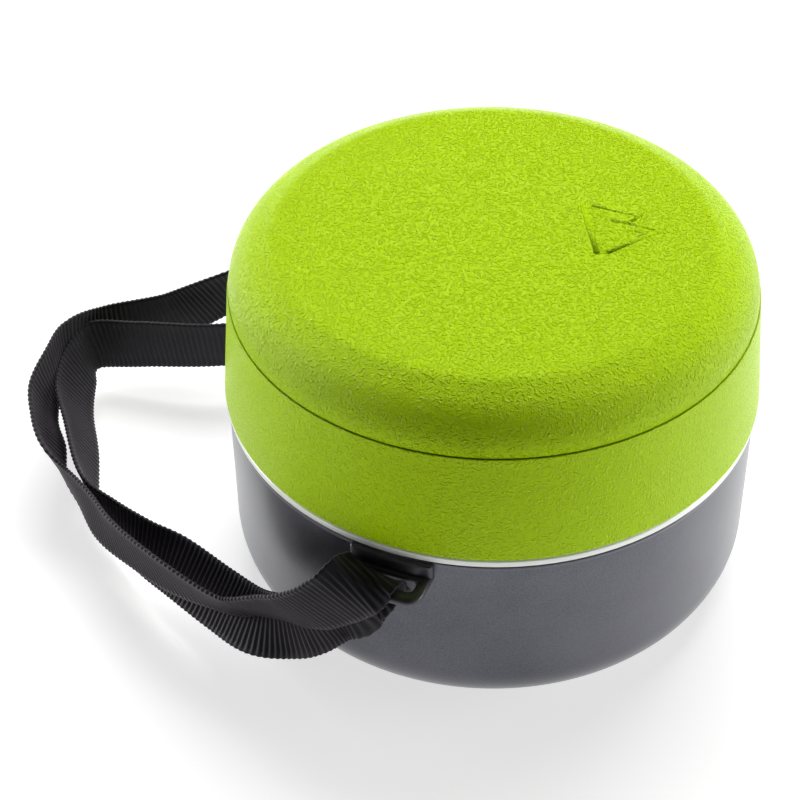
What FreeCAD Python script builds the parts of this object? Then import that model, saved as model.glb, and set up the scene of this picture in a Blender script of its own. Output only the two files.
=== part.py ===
"""Nested cooking pot set: pot, inner pot, cup, gripper, lid and a two-piece plastic cover, with a strap.

Units are millimetres. Z is up and Z = 0 is the plane that the pot stands on. The pot's axis is the
Z axis. The two strap lugs lie on the Y axis, and the strap's loop reaches out towards -X.
"""
import FreeCAD, Part
import math
import os
import Sketcher

DIMENSIONS = {
    # pot
    "pot_radius": 79.0,
    "pot_wall": 1.2,
    "pot_rim": 61.4,
    "pot_corner": 17.5,
    # pieces that lie loose on each other
    "play": 0.35,
    # inner pot
    "inner_radius": 72.0,
    "inner_floor": 1.6,
    "inner_rim": 54.0,
    "inner_corner": 14.0,
    # cup
    "cup_offset": 22.0,
    "cup_foot": 36.0,
    "cup_mouth": 42.0,
    "cup_wall": 2.0,
    "cup_floor": 3.2,
    "cup_top": 47.0,
    "cup_corner": 5.0,
    # lid
    "ring_radius": 79.6,
    "ring_inner": 76.3,
    "ring_top": 64.3,
    "ring_round": 0.6,
    "spigot_radius": 77.3,
    "lid_sheet": 1.0,
    "lid_panel": 58.0,
    "saddle_width": 18.0,
    "saddle_length": 30.0,
    "saddle_plate": 1.4,
    "saddle_height": 5.4,
    "saddle_depth": 9.0,
    "saddle_bevel": 2.0,
    "saddle_seat": 0.6,
    "loop_wire": 1.5,
    "loop_bore": 1.57,
    "loop_width": 44.0,
    "loop_length": 27.0,
    "loop_corner": 7.0,
    "lid_rivet_pitch": 21.0,
    "lid_rivet": 1.6,
    "lid_rivet_head": 3.0,
    "lid_rivet_rise": 1.0,
    # plastic bowl, upside down over the lid
    "bowl_foot": 80.0,
    "bowl_shoulder": 77.0,
    "bowl_wall": 2.0,
    "bowl_neck": 73.6,
    "bowl_top": 111.0,
    "bowl_corner": 11.0,
    "seam": 99.5,
    # plastic plate, upside down over the bowl
    "plate_radius": 77.5,
    "plate_wall": 2.2,
    "plate_top": 116.0,
    "plate_corner": 15.5,
    "plate_dish": 0.7,
    # strap lugs
    "lug_width": 25.0,
    "lug_top": 61.0,
    "lug_bottom": 45.0,
    "lug_sheet": 2.0,
    "lug_leg": 15.0,
    "lug_root": 3.0,
    "tab_top": 57.0,
    "tab_thick": 2.6,
    "tab_reach": 91.0,
    "tab_corner": 4.0,
    "slot_width": 18.0,
    "slot_inner": 82.0,
    "slot_outer": 86.6,
    "lug_rivet": 1.5,
    "lug_rivet_head": 2.6,
    "lug_rivet_rise": 1.1,
    "lug_rivet_pitch": 8.0,
    "lug_rivet_height": 49.5,
    # webbing strap
    "web_width": 19.0,
    "web_thick": 1.3,
    "web_gather": 15.0,
    "web_shift": 1.4,
    "web_gap": 0.02,
    # pot gripper, standing on its edge in the inner pot
    "grip_offset": 34.0,
    "grip_width": 14.0,
    "grip_sheet": 1.5,
    "grip_floor": 4.4,
    "grip_half": 48.0,
    "grip_depth": 6.5,
    "grip_hook": 25.0,
    "pivot_along": 24.0,
    "pivot_height": 18.0,
    "pivot_pin": 1.75,
    "pivot_bore": 1.8,
    "pivot_head": 3.4,
    "pivot_head_rise": 1.2,
    "ear_half": 8.0,
    "ear_rise": 6.0,
    "lever_half": 5.0,
    "lever_gap": 5.0,
    "lever_bevel": 3.5,
    "lever_bend": 13.0,
    "lever_rise": 12.0,
    "lever_depth": 7.0,
    "lever_play": 0.4,
    "spring_room": 6.0,
    "spring_play": 0.3,
    "spring_pitch": 1.12,
    "spring_wire": 0.7,
    "spring_coils": 4.0,
}

FRONT = 1
REAR = -1
HEAD_TAPER = 0.6
EAR_TAPER = 0.6
SPRING_SHARE = 0.55
OVERRUN = 2.5
LEAST_CUT = 0.01
SAME_PLACE = 0.01

# Middle of each strand of the webbing, from the front lug round to the rear lug:
# X, Y, Z and the outward lean of its top edge in degrees.
UPPER_STRAND = [
    (-16, -92.5, 55, 15), (-26, -93, 45, 8), (-43, -89.5, 31, 0), (-67.5, -84, 23, 0),
    (-98, -72, 21, 5), (-127.5, -48, 21, 15), (-147.5, -22.5, 23, 25), (-154, -2, 26, 28),
    (-147.5, 16.5, 31, 20), (-127, 29, 37, 10), (-98.5, 45, 46, 0), (-64.5, 70, 53, 0),
    (-37, 88, 56, 8), (-17, 92.5, 57, 15),
]
LOWER_STRAND = [
    (-16, -86, 43, -8), (-24, -85.5, 32, -8), (-38.5, -82, 20, -4), (-62, -73, 14, 0),
    (-92, -60, 13, 0), (-119, -38, 14, 10), (-136.5, -14.5, 15, 20), (-141, -0.5, 16, 20),
    (-134.5, 11, 17, 15), (-115, 20.5, 18, 5), (-89.5, 37, 21, 0), (-56, 63.5, 29, 0),
    (-31.5, 80, 38, -8), (-17, 86, 43, -8),
]


class Size:
    """A number together with the spreadsheet expression that gives it."""

    def __init__(self, value, text):
        self.value = value
        self.text = text

    def combine(self, other, sign, result):
        text = other.text if isinstance(other, Size) else repr(float(other))
        return Size(result, f"({self.text} {sign} {text})")

    def __add__(self, other):
        return self.combine(other, "+", self.value + number(other))

    def __sub__(self, other):
        return self.combine(other, "-", self.value - number(other))

    def __mul__(self, other):
        return self.combine(other, "*", self.value * number(other))


def number(size):
    return size.value if isinstance(size, Size) else float(size)


def expression(size):
    return size.text if isinstance(size, Size) else repr(float(size))


doc = FreeCAD.newDocument("cooking_pot_set")
sheet = doc.addObject("Spreadsheet::Sheet", "Dims")
for row, (name, amount) in enumerate(DIMENSIONS.items(), start=1):
    sheet.set(f"A{row}", name)
    sheet.set(f"B{row}", str(amount))
    sheet.setAlias(f"B{row}", name)
doc.recompute()

D = {name: Size(amount, f"Dims.{name}") for name, amount in DIMENSIONS.items()}
ZERO = Size(0.0, "0.0")
subparts = []


def keep(piece):
    subparts.append(piece)
    return piece


def plane(body, role):
    return [item for item in body.Origin.OriginFeatures if item.Role == role][0]


def new_body(label):
    body = doc.addObject("PartDesign::Body", label)
    body.Label = label
    body.Placement = FreeCAD.Placement()
    return body


def pin_point(sketch, index, end, point):
    """Tie one end of an edge to its place, both distances driven by the spreadsheet."""
    for kind, size in (("DistanceX", point[0]), ("DistanceY", point[1])):
        name = f"{kind}_{index}_{end}"
        sketch.addConstraint(Sketcher.Constraint(kind, -1, 1, index, end, number(size)))
        row = sketch.ConstraintCount - 1
        sketch.renameConstraint(row, name)
        sketch.setExpression(f"Constraints.{name}", expression(size))


def arc_between(first, last, radius, turn):
    """Arc of a given radius from first to last; turn is 1 anticlockwise and -1 clockwise."""
    dx, dy = last[0] - first[0], last[1] - first[1]
    chord = math.hypot(dx, dy)
    rise = math.sqrt(max(radius ** 2 - chord ** 2 / 4, 0.0))
    centre_x = (first[0] + last[0]) / 2 - turn * rise * dy / chord
    centre_y = (first[1] + last[1]) / 2 + turn * rise * dx / chord
    start = math.atan2(first[1] - centre_y, first[0] - centre_x)
    stop = math.atan2(last[1] - centre_y, last[0] - centre_x)
    if turn < 0:
        start, stop = stop, start
    circle = Part.Circle(FreeCAD.Vector(centre_x, centre_y, 0), FreeCAD.Vector(0, 0, 1), radius)
    return Part.ArcOfCircle(circle, start, stop)


def outline_sketch(body, role, points, label):
    """Closed outline. A point is (u, v) or (u, v, radius, turn) for an arc that ends there."""
    sketch = body.newObject("Sketcher::SketchObject", label)
    sketch.AttachmentSupport = [(plane(body, role), "")]
    sketch.MapMode = "FlatFace"
    for index, point in enumerate(points):
        before = points[index - 1]
        first = (number(before[0]), number(before[1]))
        last = (number(point[0]), number(point[1]))
        if len(point) == 2:
            start = FreeCAD.Vector(first[0], first[1], 0)
            stop = FreeCAD.Vector(last[0], last[1], 0)
            sketch.addGeometry(Part.LineSegment(start, stop))
            end = 2
        else:
            sketch.addGeometry(arc_between(first, last, number(point[2]), point[3]))
            end = 2 if point[3] > 0 else 1
        pin_point(sketch, index, end, point)
        if len(point) == 4:
            sketch.addConstraint(Sketcher.Constraint("Radius", index, number(point[2])))
            row = sketch.ConstraintCount - 1
            sketch.renameConstraint(row, f"Radius_{index}")
            sketch.setExpression(f"Constraints.Radius_{index}", expression(point[2]))
    for index, point in enumerate(points):
        before = points[index - 1]
        previous_end = 2 if len(before) == 2 or before[3] > 0 else 1
        own_start = 1 if len(point) == 2 or point[3] > 0 else 2
        previous = index - 1 if index > 0 else len(points) - 1
        sketch.addConstraint(Sketcher.Constraint("Coincident", previous, previous_end, index, own_start))
    return sketch


def turned(label, points):
    """Body turned about the Z axis from an outline of (radius, height) points."""
    body = new_body(label)
    sketch = outline_sketch(body, "XZ_Plane", points, f"{label}_profile")
    turn = body.newObject("PartDesign::Revolution", f"{label}_turn")
    turn.Profile = sketch
    turn.ReferenceAxis = (sketch, ["V_Axis"])
    turn.Angle = 360.0
    doc.recompute()
    return body


def padded(body, role, points, depth, label, middle=True):
    sketch = outline_sketch(body, role, points, f"{label}_outline")
    pad = body.newObject("PartDesign::Pad", f"{label}_pad")
    pad.Profile = sketch
    pad.Midplane = middle
    pad.setExpression("Length", expression(depth))
    doc.recompute()
    return pad


def cut_through(body, role, points, depth, label):
    """Pocket on both sides of an origin plane, with a check that it takes material away."""
    before = body.Shape.Volume
    sketch = outline_sketch(body, role, points, f"{label}_outline")
    pocket = body.newObject("PartDesign::Pocket", f"{label}_pocket")
    pocket.Profile = sketch
    pocket.Midplane = True
    pocket.setExpression("Length", expression(depth))
    doc.recompute()
    if body.Shape.Volume > before - LEAST_CUT:
        raise RuntimeError(f"{label} cuts nothing")
    return pocket


def drill(body, role, centres, radius, depth, label):
    """Round holes on both sides of an origin plane, with a check that they take material away."""
    before = body.Shape.Volume
    sketch = body.newObject("Sketcher::SketchObject", f"{label}_sketch")
    sketch.AttachmentSupport = [(plane(body, role), "")]
    sketch.MapMode = "FlatFace"
    for index, centre in enumerate(centres):
        middle = FreeCAD.Vector(number(centre[0]), number(centre[1]), 0)
        sketch.addGeometry(Part.Circle(middle, FreeCAD.Vector(0, 0, 1), radius.value))
        pin_point(sketch, index, 3, centre)
        sketch.addConstraint(Sketcher.Constraint("Radius", index, radius.value))
        sketch.renameConstraint(sketch.ConstraintCount - 1, f"Bore_{index}")
        sketch.setExpression(f"Constraints.Bore_{index}", radius.text)
    pocket = body.newObject("PartDesign::Pocket", label)
    pocket.Profile = sketch
    pocket.Midplane = True
    pocket.setExpression("Length", expression(depth))
    doc.recompute()
    if body.Shape.Volume > before - LEAST_CUT:
        raise RuntimeError(f"{label} cuts nothing")
    return pocket


def primitive(kind, label, sizes, place, axis=(0, 0, 1), angle=0.0):
    """Part primitive with its sizes bound to the spreadsheet."""
    shape = doc.addObject(kind, label)
    for name, size in sizes.items():
        shape.setExpression(name, expression(size))
    turn = FreeCAD.Rotation(FreeCAD.Vector(*axis), angle)
    shape.Placement = FreeCAD.Placement(FreeCAD.Vector(0, 0, 0), turn)
    for name, size in zip(("x", "y", "z"), place):
        shape.setExpression(f"Placement.Base.{name}", expression(size))
    doc.recompute()
    return shape


def joined(label, pieces):
    fuse = doc.addObject("Part::MultiFuse", label)
    fuse.Shapes = pieces
    fuse.Label = label
    doc.recompute()
    return fuse


def less(label, base, tool):
    cut = doc.addObject("Part::Cut", label)
    cut.Base = base
    cut.Tool = tool
    cut.Label = label
    doc.recompute()
    return cut


def rectangle(u0, v0, u1, v1):
    return [(u0, v0), (u1, v0), (u1, v1), (u0, v1)]


# ---------------------------------------------------------------- vessels

def vessel_profile(radius, floor, rim, corner, wall):
    """Straight-walled pot with a rounded foot, as (radius, height) points."""
    inside = corner - wall
    return [
        (ZERO, floor),
        (radius - corner, floor),
        (radius, floor + corner, corner, 1),
        (radius, rim),
        (radius - wall, rim),
        (radius - wall, floor + corner),
        (radius - corner, floor + wall, inside, -1),
        (ZERO, floor + wall),
    ]


def lug_rivet_places():
    return [(D["lug_rivet_pitch"] * along, D["lug_rivet_height"]) for along in (-0.5, 0.5)]


def build_pot():
    profile = vessel_profile(D["pot_radius"], ZERO, D["pot_rim"], D["pot_corner"], D["pot_wall"])
    body = turned("pot_body", profile)
    drill(body, "XZ_Plane", lug_rivet_places(), D["lug_rivet"], D["pot_radius"] * OVERRUN, "rivet_holes")
    return keep(body)


def build_inner_pot():
    floor = D["inner_floor"]
    profile = vessel_profile(D["inner_radius"], floor, D["inner_rim"], D["inner_corner"], D["pot_wall"])
    return keep(turned("inner_pot", profile))


def build_cup():
    wall, corner = D["cup_wall"], D["cup_corner"]
    profile = [
        (ZERO, D["cup_floor"]),
        (D["cup_foot"] - corner, D["cup_floor"]),
        (D["cup_foot"], D["cup_floor"] + corner, corner, 1),
        (D["cup_mouth"], D["cup_top"]),
        (D["cup_mouth"] - wall, D["cup_top"]),
        (D["cup_foot"] - wall, D["cup_floor"] + corner),
        (D["cup_foot"] - corner, D["cup_floor"] + wall, corner - wall, -1),
        (ZERO, D["cup_floor"] + wall),
    ]
    body = turned("cup", profile)
    body.setExpression("Placement.Base.x", "Dims.cup_offset")
    doc.recompute()
    return keep(body)


# ---------------------------------------------------------------- lid

def lid_rivet_places():
    return [(ZERO, D["lid_rivet_pitch"] * along) for along in (-0.5, 0.5)]


def build_lid():
    ring, inner, top = D["ring_radius"], D["ring_inner"], D["ring_top"]
    edge = D["ring_round"]
    ring_foot = D["pot_rim"] + D["play"]
    panel, sheet_gauge = D["lid_panel"], D["lid_sheet"]
    profile = [
        (ZERO, panel - sheet_gauge),
        (D["spigot_radius"], panel - sheet_gauge),
        (D["spigot_radius"], ring_foot),
        (ring - edge, ring_foot),
        (ring, ring_foot + edge, edge, 1),
        (ring, top - edge),
        (ring - edge, top, edge, 1),
        (inner, top),
        (inner, panel),
        (ZERO, panel),
    ]
    body = turned("pot_lid", profile)
    drill(body, "XY_Plane", lid_rivet_places(), D["lid_rivet"], top * OVERRUN, "lid_rivet_holes")
    return keep(body)


def loop_axis_height():
    return D["lid_panel"] + D["saddle_plate"] + D["loop_bore"] + D["saddle_seat"]


def build_saddle():
    """Riveted saddle that holds the loop's straight side in a bore."""
    panel = D["lid_panel"]
    body = new_body("lid_loop_saddle")
    half_length = D["saddle_length"] * 0.5
    half_depth = D["saddle_depth"] * 0.5
    plate_top = panel + D["saddle_plate"]
    half_crown = half_depth - D["saddle_bevel"]
    crown = panel + D["saddle_height"]
    side = [
        (half_length * -1.0, panel),
        (half_length, panel),
        (half_length, plate_top),
        (half_depth, plate_top),
        (half_crown, crown),
        (half_crown * -1.0, crown),
        (half_depth * -1.0, plate_top),
        (half_length * -1.0, plate_top),
    ]
    padded(body, "YZ_Plane", side, D["saddle_width"], "saddle_plate")
    axis = [(ZERO, loop_axis_height())]
    drill(body, "YZ_Plane", axis, D["loop_bore"], D["saddle_width"] * OVERRUN, "saddle_bore")
    drill(body, "XY_Plane", lid_rivet_places(), D["lid_rivet"], crown * OVERRUN, "saddle_rivet_holes")
    return keep(body)


def build_loop():
    """Wire loop that folds flat onto the lid; its straight side turns in the saddle."""
    half = D["loop_width"].value / 2
    length = D["loop_length"].value
    corner = D["loop_corner"].value
    wire_radius = D["loop_wire"].value
    height = loop_axis_height().value

    def point(x, y):
        return FreeCAD.Vector(x, y, height)

    bend = corner * (1 - math.sqrt(0.5))
    corners = [(half, 0), (half, -length), (-half, -length), (-half, 0)]
    edges = []
    previous = point(0, 0)
    for x, y in corners:
        inward_x = -math.copysign(1, x)
        inward_y = -1 if y == 0 else 1
        along_x = point(x + inward_x * corner, y)
        along_y = point(x, y + inward_y * corner)
        middle = point(x + inward_x * bend, y + inward_y * bend)
        first, last = (along_x, along_y)
        if (y != 0) == (x > 0):
            first, last = (along_y, along_x)
        edges.append(Part.makeLine(previous, first))
        edges.append(Part.Arc(first, middle, last).toShape())
        previous = last
    edges.append(Part.makeLine(previous, point(0, 0)))
    path = Part.Wire(edges)
    section = Part.Wire(Part.makeCircle(wire_radius, point(0, 0), FreeCAD.Vector(1, 0, 0)))
    solid = path.makePipeShell([section], True, False)
    loop = doc.addObject("Part::Feature", "lid_loop_handle")
    loop.Shape = solid
    loop.Placement = FreeCAD.Placement()
    loop.Label = "lid_loop_handle"
    return keep(loop)


def rivet_head(label, small, large, height, place, axis=(0, 0, 1), angle=0.0):
    return primitive("Part::Cone", label, {"Radius1": small, "Radius2": large, "Height": height},
                     place, axis, angle)


def build_lid_rivets():
    panel, gauge, plate = D["lid_panel"], D["lid_sheet"], D["saddle_plate"]
    head, shank, rise = D["lid_rivet_head"], D["lid_rivet"], D["lid_rivet_rise"]
    foot = panel - gauge
    pieces = []
    for x, y in lid_rivet_places():
        pieces.append(primitive("Part::Cylinder", "lid_shank", {"Radius": shank, "Height": plate + gauge},
                                (x, y, foot)))
        pieces.append(rivet_head("lid_head", head, head * HEAD_TAPER, rise, (x, y, panel + plate)))
        pieces.append(rivet_head("lid_tail", head * HEAD_TAPER, head, rise, (x, y, foot - rise)))
    return keep(joined("lid_rivets", pieces))


# ---------------------------------------------------------------- plastic cover

def build_cover_bowl():
    """Bowl turned upside down: its mouth stands on the lid's ring and its foot is a narrower neck."""
    wall, corner = D["bowl_wall"], D["bowl_corner"]
    mouth = D["ring_top"] + D["play"]
    step = D["seam"] - D["play"]
    profile = [
        (D["bowl_foot"] - wall, mouth),
        (D["bowl_foot"], mouth),
        (D["bowl_shoulder"], step),
        (D["bowl_neck"], step),
        (D["bowl_neck"], D["bowl_top"] - corner),
        (D["bowl_neck"] - corner, D["bowl_top"], corner, 1),
        (ZERO, D["bowl_top"]),
        (ZERO, D["bowl_top"] - wall),
        (D["bowl_neck"] - corner, D["bowl_top"] - wall),
        (D["bowl_neck"] - wall, D["bowl_top"] - corner, corner - wall, -1),
        (D["bowl_neck"] - wall, step - wall),
        (D["bowl_shoulder"] - wall, step - wall),
    ]
    return keep(turned("cover_bowl", profile))


def build_cover_plate():
    """Shallow plate turned upside down: rounded shoulder and a slightly dished top."""
    wall, corner = D["plate_wall"], D["plate_corner"]
    radius, top = D["plate_radius"], D["plate_top"]
    profile = [
        (radius - wall, D["seam"]),
        (radius, D["seam"]),
        (radius, top - corner),
        (radius - corner, top, corner, 1),
        (ZERO, top - D["plate_dish"]),
        (ZERO, top - D["plate_dish"] - wall),
        (radius - corner, top - wall),
        (radius - wall, top - corner, corner - wall, -1),
    ]
    return keep(turned("cover_plate", profile))


# ---------------------------------------------------------------- lugs and webbing

def turn_to_rear(piece):
    piece.Placement = FreeCAD.Placement(FreeCAD.Vector(0, 0, 0), FreeCAD.Vector(0, 0, 1), 180)
    doc.recompute()
    return piece


def build_lug(label, side):
    """Bracket against the pot's wall, with a tab that reaches out and has a slot for the webbing."""
    body = new_body(label)
    wall = D["pot_radius"]
    reach = D["tab_reach"] * -1.0
    tab_foot = D["tab_top"] - D["tab_thick"]
    back = (wall - D["lug_root"]) * -1.0
    outside = (wall + D["lug_sheet"]) * -1.0
    side_view = [
        (back, D["lug_bottom"]),
        (outside, D["lug_bottom"]),
        (outside, tab_foot),
        (reach, tab_foot),
        (reach, D["tab_top"]),
        (outside, D["tab_top"]),
        (outside, D["lug_top"]),
        (back, D["lug_top"]),
    ]
    padded(body, "YZ_Plane", side_view, D["lug_width"], label)
    half_slot = D["slot_width"] * 0.5
    slot_corners = rectangle(half_slot * -1.0, D["slot_outer"] * -1.0, half_slot, D["slot_inner"] * -1.0)
    cut_through(body, "XY_Plane", slot_corners, D["lug_top"] * OVERRUN, f"{label}_slot")
    half_leg, clear_side = D["lug_leg"] * 0.5, D["lug_width"]
    for way in (-1.0, 1.0):
        beside = rectangle(half_leg * way, ZERO, clear_side * way, tab_foot)
        cut_through(body, "XZ_Plane", beside, D["tab_reach"] * OVERRUN, f"{label}_leg_side")
    # the back face follows the pot's round wall
    drill(body, "XY_Plane", [(ZERO, ZERO)], wall, D["lug_top"] * OVERRUN, f"{label}_seat")
    drill(body, "XZ_Plane", lug_rivet_places(), D["lug_rivet"], D["tab_reach"] * OVERRUN, f"{label}_holes")
    corners = [f"Edge{row}" for row, edge in enumerate(body.Shape.Edges, start=1) if is_tab_corner(edge)]
    drilled = body.Tip
    rounding = body.newObject("PartDesign::Fillet", f"{label}_corners")
    rounding.Base = (drilled, corners)
    rounding.setExpression("Radius", "Dims.tab_corner")
    doc.recompute()
    if side == REAR:
        turn_to_rear(body)
    return keep(body)


def is_tab_corner(edge):
    """The two upright edges at the tab's outer corners."""
    reach = D["tab_reach"].value
    half = D["lug_width"].value / 2
    box = edge.BoundBox
    upright = box.XLength < SAME_PLACE and box.YLength < SAME_PLACE
    at_tip = abs(box.YMin + reach) < SAME_PLACE
    return upright and at_tip and abs(abs(box.XMin) - half) < SAME_PLACE


def build_lug_rivets(label, side):
    head, shank, rise = D["lug_rivet_head"], D["lug_rivet"], D["lug_rivet_rise"]
    half = D["lug_rivet_pitch"].value / 2
    wall_inside = math.sqrt((D["pot_radius"].value - D["pot_wall"].value) ** 2 - half ** 2)
    inner = Size(wall_inside, "sqrt((Dims.pot_radius - Dims.pot_wall) ^ 2 - (Dims.lug_rivet_pitch / 2) ^ 2)")
    outside = D["pot_radius"] + D["lug_sheet"]
    pieces = []
    for x, z in lug_rivet_places():
        pieces.append(primitive("Part::Cylinder", f"{label}_shank",
                                {"Radius": shank, "Height": outside - inner},
                                (x, inner * -1.0, z), (1, 0, 0), 90))
        pieces.append(rivet_head(f"{label}_head", head, head * HEAD_TAPER, rise,
                                 (x, outside * -1.0, z), (1, 0, 0), 90))
    rivets = joined(label, pieces)
    if side == REAR:
        turn_to_rear(rivets)
    return keep(rivets)


def build_anchor(label, side):
    """Webbing folded round the tab's outer bar, between the slot and the free strap."""
    gap, thick = D["web_gap"], D["web_thick"]
    bar_foot = D["tab_top"] - D["tab_thick"]
    foot = bar_foot - thick
    inner = D["slot_outer"] - thick
    outer = D["tab_reach"] + thick
    left = D["web_gather"] * -0.5 - D["web_shift"]
    wrap = primitive("Part::Box", f"{label}_block",
                     {"Length": D["web_gather"],
                      "Width": outer - inner,
                      "Height": D["tab_thick"] + thick * 2.0},
                     (left, outer * -1.0, foot))
    bar = primitive("Part::Box", f"{label}_bar_room",
                    {"Length": D["web_gather"] + thick * 2.0,
                     "Width": D["tab_reach"] - D["slot_outer"] + gap * 2.0,
                     "Height": D["tab_thick"] + gap * 2.0},
                    (left - thick, (D["tab_reach"] + gap) * -1.0, bar_foot - gap))
    anchor = less(label, wrap, bar)
    if side == REAR:
        wrap.setExpression("Placement.Base.y", expression(inner))
        bar.setExpression("Placement.Base.y", expression(D["slot_outer"] - gap))
        doc.recompute()
    return keep(anchor)


def ribbon(stations, width, thick):
    """Flat webbing through a list of (x, y, z, outward lean of the top edge) stations."""
    centres = [FreeCAD.Vector(*station[:3]) for station in stations]
    up = FreeCAD.Vector(0, 0, 1)
    sections = []
    for index, station in enumerate(stations):
        ahead = centres[min(index + 1, len(centres) - 1)]
        behind = centres[max(index - 1, 0)]
        along = (ahead - behind).normalize()
        outward = along.cross(up).normalize()
        if outward.dot(FreeCAD.Vector(station[0], station[1], 0)) < 0:
            outward = outward * -1
        lean = math.radians(station[3])
        across = up * math.cos(lean) + outward * math.sin(lean)
        across = (across - along * across.dot(along)).normalize()
        normal = along.cross(across).normalize()
        corners = [
            centres[index] + across * (width / 2 * u) + normal * (thick / 2 * v)
            for u, v in ((1, 1), (1, -1), (-1, -1), (-1, 1))
        ]
        sections.append(Part.makePolygon(corners + corners[:1]))
    return Part.makeLoft(sections, True, True)


def build_strand(label, stations):
    strand = doc.addObject("Part::Feature", label)
    strand.Shape = ribbon(stations, D["web_width"].value, D["web_thick"].value)
    strand.Placement = FreeCAD.Placement()
    strand.Label = label
    return keep(strand)


# ---------------------------------------------------------------- gripper

def build_lower_arm():
    """Channel with a hooked jaw and two ears that hold the pivot pin."""
    body = new_body("gripper_lower_arm")
    floor, half, depth = D["grip_floor"], D["grip_half"], D["grip_depth"]
    pivot, ear = D["pivot_along"], D["ear_half"]
    ear_top = D["pivot_height"] + D["ear_rise"]
    gauge = D["grip_sheet"]
    hook = half - gauge * 2.0
    side = [
        (half * -1.0, floor),
        (half, floor),
        (half, floor + D["grip_hook"]),
        (hook, floor + D["grip_hook"]),
        (hook, floor + depth),
        (pivot + ear, floor + depth),
        (pivot + ear * EAR_TAPER, ear_top),
        (pivot - ear * EAR_TAPER, ear_top),
        (pivot - ear, floor + depth),
        (half * -1.0, floor + depth),
    ]
    padded(body, "YZ_Plane", side, D["grip_width"], "lower_arm")
    channel = rectangle(half * -1.0 - gauge, floor + gauge, hook, ear_top + gauge)
    cut_through(body, "YZ_Plane", channel, D["grip_width"] - gauge * 2.0, "lower_arm_channel")
    drill_pivot(body, "lower_arm", D["pivot_pin"])
    shift_gripper(body)
    return keep(body)


def drill_pivot(body, label, radius):
    axis = [(D["pivot_along"], D["pivot_height"])]
    drill(body, "YZ_Plane", axis, radius, D["grip_width"] * OVERRUN, f"{label}_pivot_bore")


def shift_gripper(piece):
    piece.setExpression("Placement.Base.x", "-Dims.grip_offset")
    doc.recompute()


def build_upper_arm():
    """Bent lever between the ears: a handle on one side of the pin and the moving jaw on the other."""
    body = new_body("gripper_upper_arm")
    pivot, height, bend = D["pivot_along"], D["pivot_height"], D["lever_bend"]
    half, lever, bevel = D["grip_half"], D["lever_half"], D["lever_bevel"]
    jaw = half - D["lever_gap"]
    handle = height + D["lever_rise"]
    side = [
        (half * -1.0, handle),
        (pivot - bend, height),
        (pivot - bevel, height - lever),
        (jaw - bevel, height - lever),
        (jaw, height - lever + bevel),
        (jaw, height + lever),
        (pivot, height + lever),
        (pivot - bend, height + D["lever_depth"]),
        (half * -1.0, handle + D["lever_depth"]),
    ]
    width = D["grip_width"] - D["grip_sheet"] * 2.0 - D["lever_play"] * 2.0
    padded(body, "YZ_Plane", side, width, "upper_arm")
    room = D["spring_room"]
    spring_room = rectangle(pivot - room, height - room, pivot + room, height + room)
    cut_through(body, "YZ_Plane", spring_room, width * SPRING_SHARE, "upper_arm_spring_room")
    drill_pivot(body, "upper_arm", D["pivot_bore"])
    shift_gripper(body)
    return keep(body)


def build_pivot_pin():
    pin, head, rise = D["pivot_pin"], D["pivot_head"], D["pivot_head_rise"]
    width = D["grip_width"]
    left = width * -0.5 - D["grip_offset"]
    rods = [
        ("pivot_shank", pin, width, left),
        ("pivot_head_left", head, rise, left - rise),
        ("pivot_head_right", head, rise, left + width),
    ]
    pieces = [
        primitive("Part::Cylinder", label, {"Radius": radius, "Height": length},
                  (start, D["pivot_along"], D["pivot_height"]), (0, 1, 0), 90)
        for label, radius, length, start in rods
    ]
    return keep(joined("gripper_pivot_pin", pieces))


def build_spring():
    """Closed coils round the pivot pin, in the room inside the upper arm."""
    wire = D["spring_wire"]
    ring = D["pivot_pin"] + wire + D["spring_play"]
    coils = int(D["spring_coils"].value)
    pieces = []
    for coil in range(coils):
        across = D["spring_pitch"] * (coil - (coils - 1) / 2) - D["grip_offset"]
        pieces.append(primitive("Part::Torus", "spring_coil", {"Radius1": ring, "Radius2": wire},
                                (across, D["pivot_along"], D["pivot_height"]), (0, 1, 0), 90))
    return keep(joined("gripper_spring", pieces))


# ---------------------------------------------------------------- build, check and write

build_pot()
build_lug("front_strap_lug", FRONT)
build_lug("rear_strap_lug", REAR)
build_lug_rivets("front_lug_rivets", FRONT)
build_lug_rivets("rear_lug_rivets", REAR)
build_anchor("strap_front_anchor", FRONT)
build_anchor("strap_rear_anchor", REAR)
build_strand("strap_upper_strand", UPPER_STRAND)
build_strand("strap_lower_strand", LOWER_STRAND)
build_inner_pot()
build_cup()
build_lower_arm()
build_upper_arm()
build_pivot_pin()
build_spring()
build_lid()
build_saddle()
build_loop()
build_lid_rivets()
build_cover_bowl()
build_cover_plate()

doc.recompute()
for item in doc.Objects:
    if "Invalid" in item.State or "Error" in item.State:
        raise RuntimeError(f"{item.Label} failed: {item.State}")

os.makedirs("parts", exist_ok=True)
for piece in subparts:
    if piece.Shape.isNull() or not piece.Shape.isValid():
        raise RuntimeError(f"{piece.Label} has no valid shape")
    piece.Shape.exportStep(f"parts/{piece.Label}.step")
    box = piece.Shape.BoundBox
    print(f"{piece.Label:22s} solids {len(piece.Shape.Solids)} volume {piece.Shape.Volume:9.1f} "
          f"x {box.XMin:.1f}..{box.XMax:.1f} y {box.YMin:.1f}..{box.YMax:.1f} "
          f"z {box.ZMin:.1f}..{box.ZMax:.1f}")
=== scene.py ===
"""Nested camping pot set: detailed pieces, materials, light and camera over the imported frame.

Lengths are in metres. The pot's axis is the Z axis, Z = 0 is the plane it stands on, and the strap
lugs lie on the Y axis.
"""
import math

import bmesh
import bpy
from mathutils import Matrix, Vector


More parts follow.
